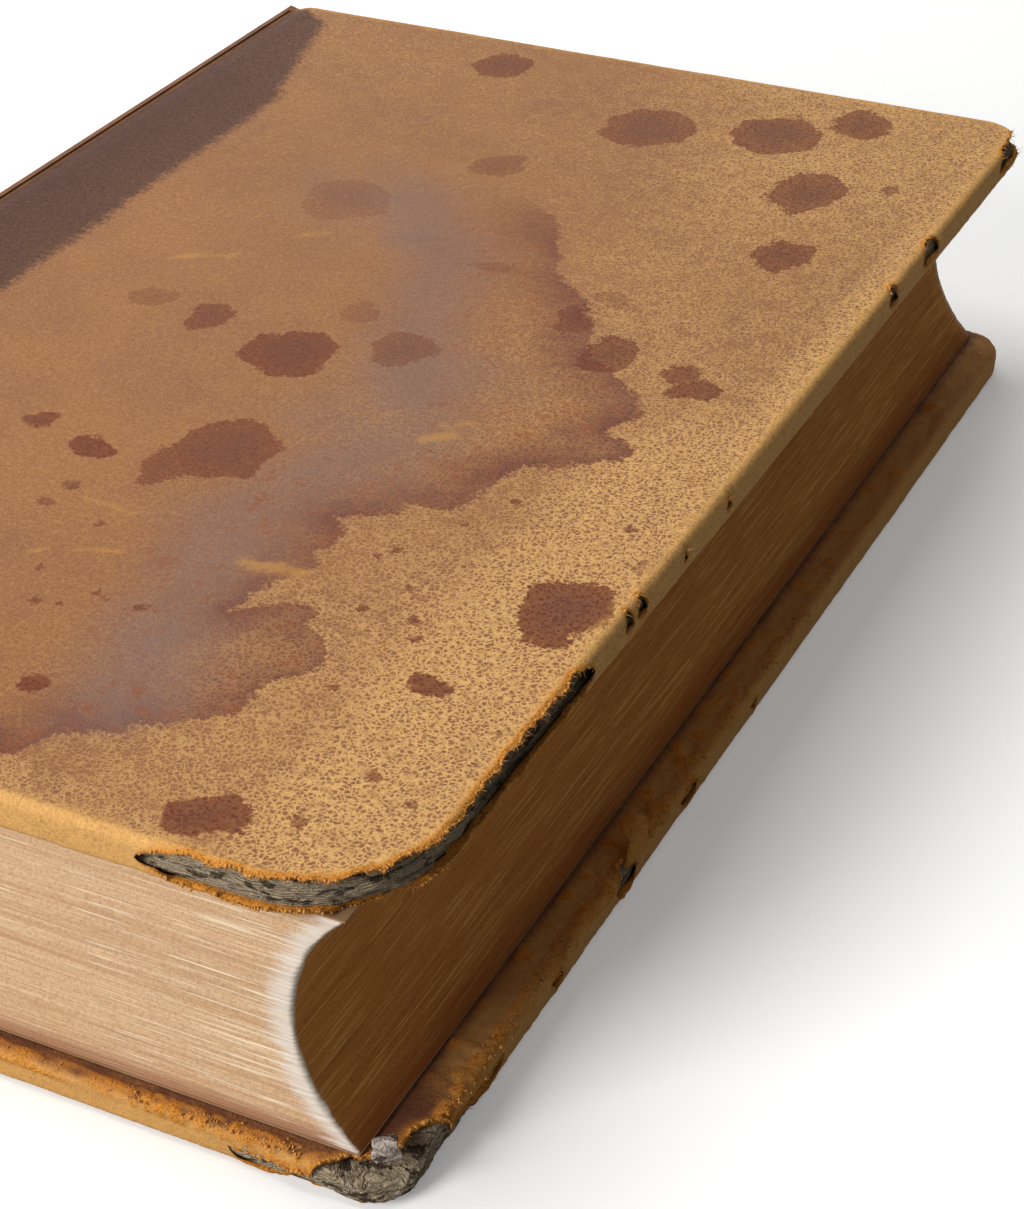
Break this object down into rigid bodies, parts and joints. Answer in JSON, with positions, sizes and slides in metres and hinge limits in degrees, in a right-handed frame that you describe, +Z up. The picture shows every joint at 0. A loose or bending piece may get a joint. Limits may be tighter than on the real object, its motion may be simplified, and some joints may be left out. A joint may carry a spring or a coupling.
{
  "type": "antique leather book",
  "caption": "Thick old book bound in stained, worn calfskin over pulp boards, with a rounded spine, raised bands and hinged covers.",
  "frame": {"origin": "on the ground, at the middle of the closed book's bounding box", "axes": "+Z up through the closed book from back cover to front cover, +Y from tail to head, +X from spine to fore edge"},
  "size_m": [0.1618, 0.24, 0.0472],
  "materials": {
    "calfskin": "worn satin",
    "spine_calfskin": "worn satin",
    "pulp_board": "rough, frayed",
    "page_paper": "matte, browned cut edges",
    "endpaper": "matte, toned",
    "lining_paper": "matte",
    "hemp_cord": "matte twisted fibre",
    "headband_thread": "matte wound thread"
  },
  "bodies": {
    "back_cover": {"back_board": "pulp_board", "back_cover_leather": "calfskin", "back_pastedown": "endpaper"},
    "text_block": {"text_block": "page_paper", "back_flyleaf": "endpaper", "front_flyleaf": "endpaper", "spine_leather": "spine_calfskin", "headband_tail": "headband_thread", "headband_head": "headband_thread", "sewing_cord_1": "hemp_cord", "sewing_cord_2": "hemp_cord", "sewing_cord_3": "hemp_cord", "sewing_cord_4": "hemp_cord", "sewing_cord_5": "hemp_cord", "spine_lining_1": "lining_paper", "spine_lining_2": "lining_paper", "spine_lining_3": "lining_paper", "spine_lining_4": "lining_paper", "spine_lining_5": "lining_paper", "spine_lining_6": "lining_paper"},
    "front_cover": {"front_board": "pulp_board", "front_cover_leather": "calfskin", "front_pastedown": "endpaper"}
  },
  "joints": [
    {"name": "back_hinge", "type": "hinge", "parent": "back_cover", "child": "text_block", "pos_m": [-0.06865, 0, 0], "axis": [0, -1, 0], "range_deg": [0, 90]},
    {"name": "front_hinge", "type": "hinge", "parent": "text_block", "child": "front_cover", "pos_m": [-0.06865, 0, 0.0472], "axis": [0, -1, 0], "range_deg": [0, 180]}
  ]
}
